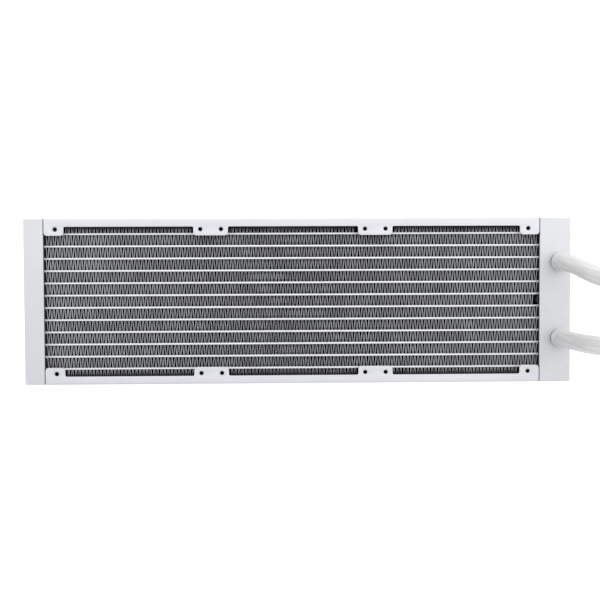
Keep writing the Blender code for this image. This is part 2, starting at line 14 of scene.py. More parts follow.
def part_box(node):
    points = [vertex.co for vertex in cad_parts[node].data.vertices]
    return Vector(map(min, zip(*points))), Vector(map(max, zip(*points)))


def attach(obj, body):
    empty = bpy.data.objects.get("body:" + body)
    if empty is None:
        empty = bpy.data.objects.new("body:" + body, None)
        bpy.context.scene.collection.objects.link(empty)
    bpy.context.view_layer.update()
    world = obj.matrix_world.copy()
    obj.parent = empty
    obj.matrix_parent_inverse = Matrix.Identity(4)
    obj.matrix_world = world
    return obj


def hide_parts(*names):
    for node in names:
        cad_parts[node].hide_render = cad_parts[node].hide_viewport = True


MM = 0.001
ROOT = "radiator"
SWIVELS = {"near": "near_swivel", "far": "far_swivel"}

# Camera: how far it is from the face, how it is turned, and its lens
CAMERA_DISTANCE = 480 * MM
CAMERA_OFFSET = (0.526 * MM, 0.634 * MM)
CAMERA_TILT = (1.525, 1.055, 0.287)  # degrees
LENS = 39.43

# Hoses
HOSE_DIAMETER = 12.4 * MM
NEAR_ROUTE = [
    (190.7, -28.0, 36.5), (190.7, -28.0, 41.5), (190.7, -28.3, 50.0), (190.7, -28.5, 64.0),
    (190.9, -28.3, 77.5), (192.4, -28.1, 93.0), (198.8, -28.2, 110.0), (211.1, -28.4, 125.5),
    (228.6, -29.0, 136.4), (248.8, -29.6, 140.4), (269.0, -30.2, 136.4), (286.4, -30.8, 125.2),
    (298.4, -31.4, 108.5), (305.4, -31.9, 90.0), (310.4, -32.4, 71.2), (316.4, -32.9, 52.8),
    (326.4, -33.4, 34.8), (341.4, -33.8, 20.3), (360.4, -34.0, 11.1), (380.4, -34.0, 7.9),
    (397.4, -34.0, 7.5), (407.4, -34.0, 7.5),
]
FAR_ROUTE = [
    (190.7, 27.11, 36.45), (190.7, 26.62, 40.42), (190.7, 25.9, 46.2), (190.7, 24.8, 53.5),
    (190.7, 22.7, 63.5), (190.9, 19.5, 76.5), (192.6, 16.0, 92.5), (199.2, 12.7, 109.5),
    (211.9, 9.7, 125.0), (229.6, 6.4, 135.6), (249.6, 3.7, 139.4), (269.6, 1.4, 135.6),
    (286.6, -0.4, 124.6), (298.6, -2.0, 108.0), (306.0, -3.4, 89.5), (311.4, -4.6, 70.7),
    (317.8, -5.6, 52.3), (328.0, -6.4, 34.3), (343.0, -7.0, 19.9), (362.0, -7.4, 10.9),
    (381.4, -7.6, 7.8), (397.4, -7.6, 7.5), (407.4, -7.6, 7.5),
]
ROUTES = {"near": NEAR_ROUTE, "far": FAR_ROUTE}
SIDES = {"near": -1, "far": 1}
RING_STEP = 0.5 * MM  # between two rings of a hose's mesh
HOSE_SIDES = 96
BRAID_YARNS = 16
BRAID_PITCH = 3.4 * MM
BRAID_RELIEF = 0.06 * MM
STREAK_SCALE = 8  # the sleeve's streaks: distance along it against distance round it

LEANS = {"near": 0, "far": 7}  # degrees that a port's ferrule leans towards -Y, with its hose
STEM_RADIUS = 4.2 * MM
FERRULE_BORE = 4.8 * MM
FERRULE_RADIUS = 6.6 * MM
SWIVEL_CLEARANCE = 0.35 * MM
NECK_FLANGE = 3.1 * MM  # how thick the flange is that holds a swivel in its elbow

# Sheet metal
SHEET = 1.2 * MM
EDGE_RADIUS = 0.8 * MM
RIM_BAND = 2.7 * MM  # raised band round a tank where its header is folded over
RIM_RELIEF = 0.1 * MM
BEND_RADIUS = 1.5 * MM
JOINT_GAP = 0.7 * MM  # between a channel's end and a tank, filled with a dark strip of painted shade
FLANGE_WIDTH = 6 * MM
TAB_DEPTH = 12.5 * MM
TAB_RADIUS = 2.4 * MM
WINDOW_RADIUS = 1.2 * MM
END_TAB_REACH = 6 * MM
MIDDLE_TAB_REACH = 5.05 * MM
SCREW_PITCH = 105 * MM
FAN_GAP = 15 * MM
SCREW_XS = [
    fan * (SCREW_PITCH + FAN_GAP) + end * SCREW_PITCH / 2 for fan in (-1, 0, 1) for end in (-1, 1)
]
SCREW_RADIUS = 1.5 * MM
COLLAR_RADIUS = 2.4 * MM
COLLAR_DEPTH = 3.2 * MM

# Core
FIN_WAVE = 2.6 * MM
FIN_SHEET = 0.14 * MM
FIN_CREST = 0.4 * MM
CREST_ANGLES = (-1.0, -0.5, 0.0, 0.5, 1.0)  # of a crest's points, as parts of its whole turn
FIN_START, FIN_END = 0.9 * MM, 0.8 * MM  # how far a strip's ends stay inside its CAD strip
FIN_WOBBLE = 0.12 * MM  # how far a fin leans at the front
LOUVRE_WIDTH = 0.9 * MM
LOUVRE_SHEET = 0.12 * MM
LOUVRE_PITCH = 1.25 * MM
LOUVRE_TILT = 9  # degrees
LOUVRES = 2  # at each face
TUBE_THICKNESS = 1.45 * MM
TUBE_WALL = 0.3 * MM
FIN_REACH = 0.18 * MM  # how far a fin's crests reach beyond its CAD strip, to the tubes

LYING = Matrix.Rotation(math.pi / 2, 4, "Y")
ALONG_X = Matrix(((0, 0, 1, 0), (1, 0, 0, 0), (0, 1, 0, 0), (0, 0, 0, 1)))


# ---- shapes ----------------------------------------------------------------------------------


def arc(centre, radius, start, end, steps):
    """Points on an arc, angles in degrees from the first axis."""
    angles = [math.radians(start + (end - start) * i / steps) for i in range(steps + 1)]
    return [(centre[0] + radius * math.cos(a), centre[1] + radius * math.sin(a)) for a in angles]


def filleted(corners, steps=8):
    """An outline from (x, y, radius) corners, each rounded to its radius."""
    outline = []
    for i, (x, y, radius) in enumerate(corners):
        here = Vector((x, y))
        if not radius:
            outline.append((x, y))
            continue
        before = (Vector(corners[i - 1][:2]) - here).normalized()
        after = (Vector(corners[(i + 1) % len(corners)][:2]) - here).normalized()
        half = before.angle(after) / 2
        centre = here + (before + after).normalized() * radius / math.sin(half)
        start = here + before * radius / math.tan(half) - centre
        turn = start.angle_signed(here + after * radius / math.tan(half) - centre)
        for step in range(steps + 1):
            spoke = start.copy()
            spoke.rotate(Matrix.Rotation(-turn * step / steps, 2))
            outline.append(tuple(centre + spoke))
    return outline


def smooth_route(points, step):
    """Points about step apart on a Catmull-Rom curve through a route given in millimetres."""
    route = [Vector(p) * MM for p in points]
    ends = [2 * route[0] - route[1], *route, 2 * route[-1] - route[-2]]
    smooth = []
    for a, b, c, d in zip(ends, ends[1:], ends[2:], ends[3:]):
        count = max(2, round((c - b).length / step))
        for i in range(count):
            t = i / count
            smooth.append(
                0.5 * (2 * b + (c - a) * t + (2 * a - 5 * b + 4 * c - d) * t**2
                       + (3 * b - a - 3 * c + d) * t**3)
            )
    return [*smooth, route[-1]]


def piece(name, bm, matrix=None, sharp=35):
    """An object from a bmesh, facing outwards and shaded smooth on its round faces."""
    if matrix is not None:
        bm.transform(matrix)
    bmesh.ops.recalc_face_normals(bm, faces=bm.faces)
    if bm.calc_volume(signed=True) < 0:
        bmesh.ops.reverse_faces(bm, faces=bm.faces)
    mesh = bpy.data.meshes.new(name)
    bm.to_mesh(mesh)
    bm.free()
    mesh.shade_smooth()
    mesh.set_sharp_from_angle(angle=math.radians(sharp))
    obj = bpy.data.objects.new(name, mesh)
    bpy.context.scene.collection.objects.link(obj)
    return obj


def finish_piece(obj, paint, nodes=(), body=ROOT):
    """Paints a piece, hides the CAD nodes it stands for, and puts it on its body."""
    obj.data.materials.clear()
    obj.data.materials.append(paint)
    if nodes:
        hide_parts(*nodes)
    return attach(obj, body)


def rings(bm, loops, loop_of_rings=False):
    """Quads between one ring of points and the next, with capped ends unless the rings loop."""
    made = [[bm.verts.new(p) for p in loop] for loop in loops]
    pairs = list(zip(made, made[1:]))
    if loop_of_rings:
        pairs.append((made[-1], made[0]))
    else:
        bm.faces.new(made[0][::-1])
        bm.faces.new(made[-1])
    for a, b in pairs:
        for i in range(len(a)):
            j = (i + 1) % len(a)
            bm.faces.new((a[i], a[j], b[j], b[i]))


def turned(profile, steps, shape=None):
    """A bmesh of a closed profile of (radius, height) points, turned about Z. shape, if given,
    changes a radius by its angle."""
    bm = bmesh.new()
    loops = []
    for step in range(steps):
        angle = 2 * math.pi * step / steps
        loop = []
        for radius, height in profile:
            r = shape(angle, radius) if shape else radius
            loop.append((r * math.cos(angle), r * math.sin(angle), height))
        loops.append(loop)
    rings(bm, loops, loop_of_rings=True)
    bmesh.ops.remove_doubles(bm, verts=bm.verts, dist=0.001 * MM)
    return bm


def rounded(profile, radii, steps=4):
    """A turned profile whose corners are rounded to the radii given by their index."""
    return filleted([(r, h, radii.get(i, 0)) for i, (r, h) in enumerate(profile)], steps)


def flat_plate(outlines, thickness):
    """A bmesh plate, centred on Z, from an outline and any hole outlines."""
    curve = bpy.data.curves.new("outline", "CURVE")
    curve.dimensions = "2D"
    curve.fill_mode = "BOTH"
    curve.extrude = thickness / 2
    for outline in outlines:
        spline = curve.splines.new("POLY")
        spline.points.add(len(outline) - 1)
        for point, (x, y) in zip(spline.points, outline):
            point.co = (x, y, 0, 1)
        spline.use_cyclic_u = True
    obj = bpy.data.objects.new("outline", curve)
    bpy.context.scene.collection.objects.link(obj)
    mesh = bpy.data.meshes.new_from_object(obj.evaluated_get(bpy.context.evaluated_depsgraph_get()))
    bm = bmesh.new()
    bm.from_mesh(mesh)
    bmesh.ops.remove_doubles(bm, verts=bm.verts, dist=0.002 * MM)
    bpy.data.objects.remove(obj)
    bpy.data.curves.remove(curve)
    bpy.data.meshes.remove(mesh)
    return bm


def cylinders(spots, radius, low, high, steps):
    """A bmesh of upright cylinders with their axes at (x, y) spots."""
    bm = bmesh.new()
    for x, y in spots:
        middle = Matrix.Translation((x, y, (low + high) / 2))
        bmesh.ops.create_cone(
            bm, cap_ends=True, segments=steps, radius1=radius, radius2=radius,
            depth=high - low, matrix=middle,
        )
    return bm


def joined(shapes):
    """One bmesh made of several, which it uses up."""
    whole = bmesh.new()
    for shape in shapes:
        mesh = bpy.data.meshes.new("shape")
        shape.to_mesh(mesh)
        shape.free()
        whole.from_mesh(mesh)
        bpy.data.meshes.remove(mesh)
    return whole


def combined(obj, bm, operation, matrix=None):
    """Applies a Boolean with another shape to a piece's own mesh."""
    tool = piece("tool", bm, matrix)
    modifier = obj.modifiers.new("Combine", "BOOLEAN")
    modifier.operation = operation
    modifier.solver = "EXACT"
    modifier.object = tool
    apply_modifiers(obj)
    bpy.data.objects.remove(tool)


def apply_modifiers(obj):
    graph = bpy.context.evaluated_depsgraph_get()
    mesh = bpy.data.meshes.new_from_object(obj.evaluated_get(graph))
    obj.modifiers.clear()
    obj.data = mesh


def soften(obj, width, segments=2, angle=40):
    """Rounds a piece's sharp edges a little."""
    bevel = obj.modifiers.new("Soft edges", "BEVEL")
    bevel.width = width
    bevel.segments = segments
    bevel.limit_method = "ANGLE"
    bevel.angle_limit = math.radians(angle)
    bevel.use_clamp_overlap = True
    apply_modifiers(obj)
    obj.data.shade_smooth()
    obj.data.set_sharp_from_angle(angle=math.radians(35))


# ---- materials -------------------------------------------------------------------------------


def material(name, colour, roughness, metallic=0.0):
    made = bpy.data.materials.new(name)
    made.use_nodes = True
    shader = made.node_tree.nodes["Principled BSDF"]
    shader.inputs["Base Color"].default_value = (*colour, 1)
    shader.inputs["Roughness"].default_value = roughness
    shader.inputs["Metallic"].default_value = metallic
    return made


def texture(tree, kind, scale, coordinates, **values):
    """A texture node on these coordinates. Its scale is in features to a metre."""
    node = tree.nodes.new(kind)
    tree.links.new(coordinates, node.inputs["Vector"])
    node.inputs["Scale"].default_value = scale
    for name, value in values.items():
        node.inputs[name].default_value = value
    return node


def ramp(tree, value, stops):
    node = tree.nodes.new("ShaderNodeValToRGB")
    elements = node.color_ramp.elements
    while len(elements) < len(stops):
        elements.new(0.5)
    for element, (position, colour) in zip(elements, stops):
        element.position = position
        element.color = (*colour, 1)
    tree.links.new(value, node.inputs["Fac"])
    return node


def bump(tree, shader, height, strength, distance):
    node = tree.nodes.new("ShaderNodeBump")
    node.inputs["Strength"].default_value = strength
    node.inputs["Distance"].default_value = distance
    tree.links.new(height, node.inputs["Height"])
    tree.links.new(node.outputs["Normal"], shader.inputs["Normal"])


def powder_coat(name, colour, variation=0.02, roughness=0.45, grain=1500):
    """Sprayed paint: a fine orange peel, and a very slight mottling of its colour."""
    made = material(name, colour, roughness)
    tree = made.node_tree
    shader = tree.nodes["Principled BSDF"]
    place = tree.nodes.new("ShaderNodeTexCoord").outputs["Object"]
    mottle = texture(tree, "ShaderNodeTexNoise", 60, place, Detail=4.0)
    darker = tuple(c - variation for c in colour)
    colours = ramp(tree, mottle.outputs["Fac"], [(0.35, darker), (0.65, colour)])
    tree.links.new(colours.outputs["Color"], shader.inputs["Base Color"])
    gloss = texture(tree, "ShaderNodeTexNoise", 200, place, Detail=2.0)
    low, high = roughness - 0.05, roughness + 0.07
    shine = ramp(tree, gloss.outputs["Fac"], [(0.3, (low,) * 3), (0.7, (high,) * 3)])
    tree.links.new(shine.outputs["Color"], shader.inputs["Roughness"])
    peel = texture(tree, "ShaderNodeTexNoise", grain, place, Detail=2.0)
    bump(tree, shader, peel.outputs["Fac"], 0.12, 0.05 * MM)
    return made


def paint_fading_to_shade(name, face, deep, depth, middle, half, shade_covered=False):
    """Paint sprayed on the core from both faces. It reaches only so deep between the fins, where the
    colour fades to near black as painted shade, and it gives painted shade where the mesh says that
    a channel covers it."""
    made = material(name, face, 0.5)
    tree = made.node_tree
    shader = tree.nodes["Principled BSDF"]
    place = tree.nodes.new("ShaderNodeTexCoord").outputs["Object"]
    split = tree.nodes.new("ShaderNodeSeparateXYZ")
    tree.links.new(place, split.inputs[0])
    offset = tree.nodes.new("ShaderNodeMath")
    offset.operation = "SUBTRACT"
    offset.inputs[1].default_value = middle
    tree.links.new(split.outputs["Z"], offset.inputs[0])
    distance = tree.nodes.new("ShaderNodeMath")
    distance.operation = "ABSOLUTE"
    tree.links.new(offset.outputs[0], distance.inputs[0])
    drift = texture(tree, "ShaderNodeTexNoise", 90, place, Detail=3.0)
    uneven = tree.nodes.new("ShaderNodeMath")
    uneven.operation = "MULTIPLY_ADD"
    uneven.inputs[1].default_value = 1.2 * MM
    tree.links.new(drift.outputs["Fac"], uneven.inputs[0])
    tree.links.new(distance.outputs[0], uneven.inputs[2])
    reach = tree.nodes.new("ShaderNodeMapRange")
    reach.inputs["From Min"].default_value = half - depth
    reach.inputs["From Max"].default_value = half + 0.6 * MM
    tree.links.new(uneven.outputs[0], reach.inputs["Value"])
    coat_and_shade = reach.outputs[0]
    if shade_covered:
        unshaded_mask = tree.nodes.new("ShaderNodeAttribute")
        unshaded_mask.attribute_name = "not_shaded_by_channel"
        shaded = tree.nodes.new("ShaderNodeMath")
        shaded.operation = "MULTIPLY"
        tree.links.new(coat_and_shade, shaded.inputs[0])
        tree.links.new(unshaded_mask.outputs["Fac"], shaded.inputs[1])
        coat_and_shade = shaded.outputs[0]
    # The deep colour is painted shade: deep between the fins and under a channel the core goes near
    # black.
    middle_colour = tuple(d + (f - d) * 0.3 for f, d in zip(face, deep))
    colours = ramp(
        tree, coat_and_shade, [(0.0, deep), (0.55, middle_colour), (0.93, face)]
    )
    tree.links.new(colours.outputs["Color"], shader.inputs["Base Color"])
    # The shine fades with the paint as well, so the depths reflect no light: painted shade.
    gloss = tree.nodes.new("ShaderNodeMath")
    gloss.operation = "MULTIPLY"
    gloss.inputs[1].default_value = 0.4
    tree.links.new(coat_and_shade, gloss.inputs[0])
    tree.links.new(gloss.outputs[0], shader.inputs["Specular IOR Level"])
    grain = texture(tree, "ShaderNodeTexNoise", 1800, place, Detail=2.0)
    bump(tree, shader, grain.outputs["Fac"], 0.15, 0.04 * MM)
    return made


def sleeve_material():
    """White braided sleeve: matt threads with a little sheen, and streaks along the hose."""
    made = material("woven_sleeve", (0.73, 0.725, 0.715), 0.55)
    tree = made.node_tree
    shader = tree.nodes["Principled BSDF"]
    shader.inputs["Sheen Weight"].default_value = 0.2
    shader.inputs["Sheen Roughness"].default_value = 0.4
    place = tree.nodes.new("ShaderNodeTexCoord").outputs["Object"]
    lie = tree.nodes.new("ShaderNodeAttribute")
    lie.attribute_name = "sleeve_lie"
    streaks = texture(tree, "ShaderNodeTexNoise", 4.5, lie.outputs["Vector"], Detail=3.0)
    colours = ramp(
        tree, streaks.outputs["Fac"], [(0.38, (0.69, 0.685, 0.675)), (0.62, (0.83, 0.825, 0.815))]
    )
    tree.links.new(colours.outputs["Color"], shader.inputs["Base Color"])
    thread = texture(tree, "ShaderNodeTexNoise", 2600, place, Detail=3.0)
    bump(tree, shader, thread.outputs["Fac"], 0.25, 0.05 * MM)
    return made


def plated_material():
    """White plated metal of the ferrules and swivel fittings, smoother than the paint."""
    made = powder_coat("white_plating", (0.76, 0.765, 0.775), 0.015, 0.32, 2500)
    shader = made.node_tree.nodes["Principled BSDF"]
    shader.inputs["Coat Weight"].default_value = 0.25
    shader.inputs["Coat Roughness"].default_value = 0.15
    return made


def bare_metal():
    """Machined aluminium, with turning marks."""
    made = material("machined_aluminium", (0.66, 0.67, 0.68), 0.35, 1.0)
    tree = made.node_tree
    shader = tree.nodes["Principled BSDF"]
    place = tree.nodes.new("ShaderNodeTexCoord").outputs["Object"]
    marks = texture(tree, "ShaderNodeTexNoise", 900, place, Detail=3.0)
    shine = ramp(tree, marks.outputs["Fac"], [(0.3, (0.28,) * 3), (0.7, (0.46,) * 3)])
    tree.links.new(shine.outputs["Color"], shader.inputs["Roughness"])
    bump(tree, shader, marks.outputs["Fac"], 0.15, 0.03 * MM)
    return made


def rubber_material():
    made = material("black_rubber_and_painted_shade", (0.02, 0.02, 0.021), 0.6)
    tree = made.node_tree
    shader = tree.nodes["Principled BSDF"]
    place = tree.nodes.new("ShaderNodeTexCoord").outputs["Object"]
    grain = texture(tree, "ShaderNodeTexNoise", 1500, place, Detail=3.0)
    colours = ramp(tree, grain.outputs["Fac"], [(0.3, (0.015,) * 3), (0.7, (0.03,) * 3)])
    tree.links.new(colours.outputs["Color"], shader.inputs["Base Color"])
    bump(tree, shader, grain.outputs["Fac"], 0.2, 0.04 * MM)
    return made


# ---- camera, light and floor -----------------------------------------------------------------


def make_camera(top):
    data = bpy.data.cameras.new("Camera")
    data.lens = LENS
    data.sensor_width = 36
    data.clip_start = 0.01
    camera = bpy.data.objects.new("Camera", data)
    bpy.context.scene.collection.objects.link(camera)
    turn = Euler([math.radians(a) for a in CAMERA_TILT]).to_matrix().to_4x4().transposed()
    back = Matrix.Translation((*CAMERA_OFFSET, CAMERA_DISTANCE))
    camera.matrix_world = Matrix.Translation((0, 0, top)) @ turn @ back
    bpy.context.scene.camera = camera


def area_light(name, spot, size, power):
    """A rectangular light that faces the middle of the scene."""
    data = bpy.data.lights.new(name, "AREA")
    data.shape = "RECTANGLE"
    data.size, data.size_y = size
    data.energy = power
    light = bpy.data.objects.new(name, data)
    light.location = spot
    light.rotation_euler = (-Vector(spot)).to_track_quat("-Z", "Y").to_euler()
    bpy.context.scene.collection.objects.link(light)


def make_studio():
    """A pale world and floor, a long key light from +Y, and two softer lights."""
    world = bpy.context.scene.world or bpy.data.worlds.new("World")
    bpy.context.scene.world = world
    world.use_nodes = True
    sky = world.node_tree.nodes["Background"]
    sky.inputs["Color"].default_value = (0.97, 0.98, 1.0, 1)
    sky.inputs["Strength"].default_value = 0.56
    area_light("key", (-0.06, 0.3, 0.36), (1.7, 0.3), 2.03)
    area_light("side", (0.45, 0.02, 0.7), (0.5, 0.5), 1.35)
    area_light("fill", (0.4, -0.75, 0.5), (1.2, 0.3), 0.4)

    bm = bmesh.new()
    bmesh.ops.create_grid(bm, x_segments=1, y_segments=1, size=2.5)
    bmesh.ops.translate(bm, vec=(0, 0, -0.02 * MM), verts=bm.verts)
    mesh = bpy.data.meshes.new("floor")
    bm.to_mesh(mesh)
    bm.free()
    floor = bpy.data.objects.new("floor", mesh)
    pale = material("pale_floor", (0.75, 0.75, 0.75), 0.9)
    shader = pale.node_tree.nodes["Principled BSDF"]
    shader.inputs["Emission Color"].default_value = (1, 1, 1, 1)
    shader.inputs["Emission Strength"].default_value = 0.6
    mesh.materials.append(pale)
    bpy.context.scene.collection.objects.link(floor)


def make_shadow_card(low, high):
    """A dark card under the radiator, painted shadow on the floor beneath it, which keeps the floor's
    light out of the core.
    """
    bm = bmesh.new()
    bmesh.ops.create_grid(bm, x_segments=1, y_segments=1, size=0.5)
    bmesh.ops.scale(bm, vec=(high.x - low.x + 3 * MM, high.y - low.y - 2 * MM, 1), verts=bm.verts)
    bmesh.ops.translate(bm, vec=((high.x + low.x) / 2, 0, -0.01 * MM), verts=bm.verts)
    mesh = bpy.data.meshes.new("card")
    bm.to_mesh(mesh)
    bm.free()
    card = bpy.data.objects.new("card", mesh)
    mesh.materials.append(material("painted_floor_shadow", (0.01, 0.01, 0.01), 1.0))
    bpy.context.scene.collection.objects.link(card)


# ---- hoses and fittings ----------------------------------------------------------------------


def hose_piece(name, path):
    """A sleeved hose: rings round its path, raised where the sleeve's yarns cross."""
    bm = bmesh.new()
    loops = []
    lie = []  # where each point is on the sleeve: round it, and along it
    side = Vector((1, 0, 0))
    run = 0.0
    for i, point in enumerate(path):
        ahead = (path[min(i + 1, len(path) - 1)] - path[max(i - 1, 0)]).normalized()
        side = (side - ahead * side.dot(ahead)).normalized()
        across = ahead.cross(side)
        if i:
            run += (point - path[i - 1]).length
        loop = []
        for k in range(HOSE_SIDES):
            angle = 2 * math.pi * k / HOSE_SIDES
            one = math.cos(BRAID_YARNS * angle + 2 * math.pi * run / BRAID_PITCH)
            other = math.cos(BRAID_YARNS * angle - 2 * math.pi * run / BRAID_PITCH)
            radius = HOSE_DIAMETER / 2 + BRAID_RELIEF * (max(one, other) - 0.5)
            loop.append(point + radius * (side * math.cos(angle) + across * math.sin(angle)))
            lie += [math.cos(angle), math.sin(angle), run * STREAK_SCALE]
        loops.append(loop)
    rings(bm, loops)
    hose = piece(name, bm, sharp=60)
    hose.data.attributes.new("sleeve_lie", "FLOAT_VECTOR", "POINT").data.foreach_set("vector", lie)
    return hose


def ferrule(name, length, matrix):
    """A crimped ferrule: two crimp grooves and rolled ends."""
    groove, lip = 0.28 * MM, 0.45 * MM
    profile = [(FERRULE_BORE, length), (FERRULE_RADIUS, length)]
    radii = {0: 0.15 * MM, 1: lip}
    for middle in (length * 0.68, length * 0.32):
        for height, depth in ((0.9, 0), (0.4, groove), (-0.4, groove), (-0.9, 0)):
            radii[len(profile)] = 0.3 * MM
            profile.append((FERRULE_RADIUS - depth, middle + height * MM))
    radii[len(profile)] = lip
    profile += [(FERRULE_RADIUS, 0), (FERRULE_BORE, 0)]
    return piece(name, turned(rounded(profile, radii), 96), matrix, sharp=50)


def make_root_fitting(side, metal, paint, black_rubber_and_shade):
    """The nipple brazed into the tank, a thin black ring round its foot, which is painted shade under
    the ferrule's edge, and the ferrule on it, which leans with its hose."""
    low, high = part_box(f"port_nipple_{side}")
    middle = (low + high) / 2
    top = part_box("port_tank")[1].z
    bore, foot, ferrule_base, ferrule_length = 3 * MM, 5.4 * MM, 2.2 * MM, 7 * MM
    profile = [
        (bore, high.z), (STEM_RADIUS, high.z), (STEM_RADIUS, top + 1.5 * MM), (foot, top + 1.1 * MM),
        (foot, top - 0.05 * MM), (STEM_RADIUS, top - 0.05 * MM), (STEM_RADIUS, low.z), (bore, low.z),
    ]
    radii = {1: 0.6 * MM, 2: 0.2 * MM, 3: 0.3 * MM}
    spot = Matrix.Translation((middle.x, middle.y, 0))
    nipple = piece(f"nipple_{side}", turned(rounded(profile, radii), 96), spot)
    finish_piece(nipple, paint, [f"port_nipple_{side}"])
    # A thin black ring on the tank under the ferrule's edge: painted shade, the dark contact line.
    rim, low_face, high_face = 5.95 * MM, 0.02 * MM, 0.3 * MM
    section = [(foot, low_face), (foot, high_face), (rim, high_face), (rim, low_face)]
    at_top = Matrix.Translation((middle.x, middle.y, top))
    shade_ring = piece(f"root_shade_ring_{side}", turned(rounded(section, {2: 0.12 * MM}), 96), at_top)
    finish_piece(shade_ring, black_rubber_and_shade)
    lean = Matrix.Rotation(math.radians(LEANS[side]), 4, "X")
    spot = Matrix.Translation((middle.x, middle.y, top + ferrule_base)) @ lean
    crimped = ferrule(f"root_ferrule_{side}", ferrule_length, spot)
    finish_piece(crimped, metal, [f"port_ferrule_{side}"])


def make_elbow(side, hose_end, metal):
    """The elbow on a hose's free end: a barb under the ferrule, and a cup that holds the flange of
    the swivel's neck."""
    low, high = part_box(f"swivel_elbow_{side}")
    base_low, base_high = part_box(f"swivel_base_{side}")
    axis = (base_low + base_high) / 2
    radius = (high.y - low.y) / 2
    neck, cup = 3.75 * MM, 4.75 * MM
    cup_floor = base_low.z - SWIVEL_CLEARANCE
    cup_top = base_low.z + NECK_FLANGE + SWIVEL_CLEARANCE
    body = [
        (0, low.z), (radius, low.z), (radius, high.z - 4.2 * MM), (radius - 0.5 * MM, high.z - 3.9 * MM),
        (radius - 0.5 * MM, high.z - 3.3 * MM), (radius, high.z - 3 * MM), (radius, high.z),
        (0, high.z),
    ]
    at_axis = Matrix.Translation((axis.x, axis.y, 0))
    elbow = piece(
        f"elbow_{side}", turned(rounded(body, {1: 2.2 * MM, 6: 0.5 * MM}, 6), 96), at_axis
    )
    collar_end = axis.x - hose_end.x
    ferrule_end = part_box(f"end_ferrule_{side}")[1].x - hose_end.x
    collar = 6.3 * MM
    barb = [
        (0, 1.3 * MM), (STEM_RADIUS, 1.3 * MM), (STEM_RADIUS, ferrule_end + 0.3 * MM),
        (collar, ferrule_end + 0.3 * MM), (collar, collar_end), (0, collar_end),
    ]
    radii = {1: 0.5 * MM, 3: 0.5 * MM}
    bm = turned(rounded(barb, radii), 96)
    combined(elbow, bm, "UNION", Matrix.Translation(hose_end) @ LYING)
    chamber = [
        (0, high.z + MM), (neck, high.z + MM), (neck, cup_top), (cup, cup_top), (cup, cup_floor),
        (0, cup_floor),
    ]
    combined(elbow, turned(chamber, 96), "DIFFERENCE", at_axis)
    soften(elbow, 0.25 * MM, 2, 50)
    return finish_piece(elbow, metal, [f"swivel_elbow_{side}"])


def make_swivel(side, metal, black_rubber_and_shade):
    """The swivel base: a knurled collar under a plug with its seal."""
    low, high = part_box(f"swivel_base_{side}")
    axis = (low + high) / 2
    seal_low, seal_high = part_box(f"swivel_seal_{side}")
    seal_z = (seal_low.z + seal_high.z) / 2
    collar_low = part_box(f"swivel_elbow_{side}")[1].z + SWIVEL_CLEARANCE
    collar_high = collar_low + 5.5 * MM
    collar = (high.x - low.x) / 2
    bore, neck, flange, plug, floor = 2.2 * MM, 3.4 * MM, 4.4 * MM, 5.5 * MM, 4.4 * MM
    groove = 1.1 * MM
    profile = [
        (bore, high.z), (plug - 0.7 * MM, high.z), (plug, high.z - 0.8 * MM),
        (plug, seal_z + groove), (floor, seal_z + groove), (floor, seal_z - groove),
        (plug, seal_z - groove), (plug, collar_high), (collar - 0.9 * MM, collar_high),
        (collar, collar_high - 0.9 * MM), (collar, collar_low + 0.9 * MM),
        (collar - 0.9 * MM, collar_low), (neck, collar_low), (neck, low.z + NECK_FLANGE),
        (flange, low.z + NECK_FLANGE), (flange, low.z), (bore, low.z),
    ]
    radii = {0: 0.25 * MM, 1: 0.3 * MM, 2: 0.3 * MM, 3: 0.15 * MM, 6: 0.15 * MM, 7: 0.3 * MM}
    outline = rounded(profile, radii, 4)
    knurls, knurl_depth = 48, 0.3 * MM

    def knurled(angle, radius):
        if radius < collar - 0.2 * MM:
            return radius
        return radius - knurl_depth * abs(math.sin(knurls * angle / 2)) ** 0.7

    spot = Matrix.Translation((axis.x, axis.y, 0))
    base = piece(f"plug_base_{side}", turned(outline, 8 * knurls, knurled), spot)
    finish_piece(base, metal, [f"swivel_base_{side}"], SWIVELS[side])
    seal_radius = 0.8 * MM
    ring = arc((floor + seal_radius + 0.25 * MM, seal_z), seal_radius, 0, 360, 20)[:-1]
    seal = piece(f"o_ring_{side}", turned(ring, 96), spot, sharp=180)
    finish_piece(seal, black_rubber_and_shade, [f"swivel_seal_{side}"], SWIVELS[side])
    return base, seal


def make_hose(side, sleeve, metal, black_rubber_and_shade):
    """A hose and everything on its free end."""
    path = smooth_route(ROUTES[side], RING_STEP)
    hose = finish_piece(
        hose_piece(f"sleeved_hose_{side}", path), sleeve, [f"hose_{side}"]
    )
    low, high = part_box(f"end_ferrule_{side}")
    end = Vector((low.x, path[-1].y, path[-1].z))
    spot = Matrix.Translation(end) @ LYING
    end_ferrule = ferrule(f"crimped_ferrule_{side}", high.x - low.x, spot)
    finish_piece(end_ferrule, metal, [f"end_ferrule_{side}"])
    elbow = make_elbow(side, end, metal)
    base, seal = make_swivel(side, metal, black_rubber_and_shade)


# ---- core ------------------------------------------------------------------------------------


def fin_outline(start, end, low, high):
    """Centreline of a corrugated strip: straight walls between rounded crests."""
    waves = max(2, round((end - start) / FIN_WAVE))
    half_wave = (end - start) / (2 * waves)
    middle, reach = (low + high) / 2, (high - low) / 2 - FIN_SHEET / 2
    slope = math.atan2(half_wave, 2 * reach)
    line = []
    for i in range(2 * waves + 1):
        up = -1 if i % 2 else 1
        x = start + half_wave * i
        for angle in CREST_ANGLES:
            turn = angle * (math.pi / 2 - slope)
            drop = FIN_CREST * (1 - math.cos(turn))
            line.append((x + FIN_CREST * math.sin(turn), middle + up * (reach - drop)))
    return line


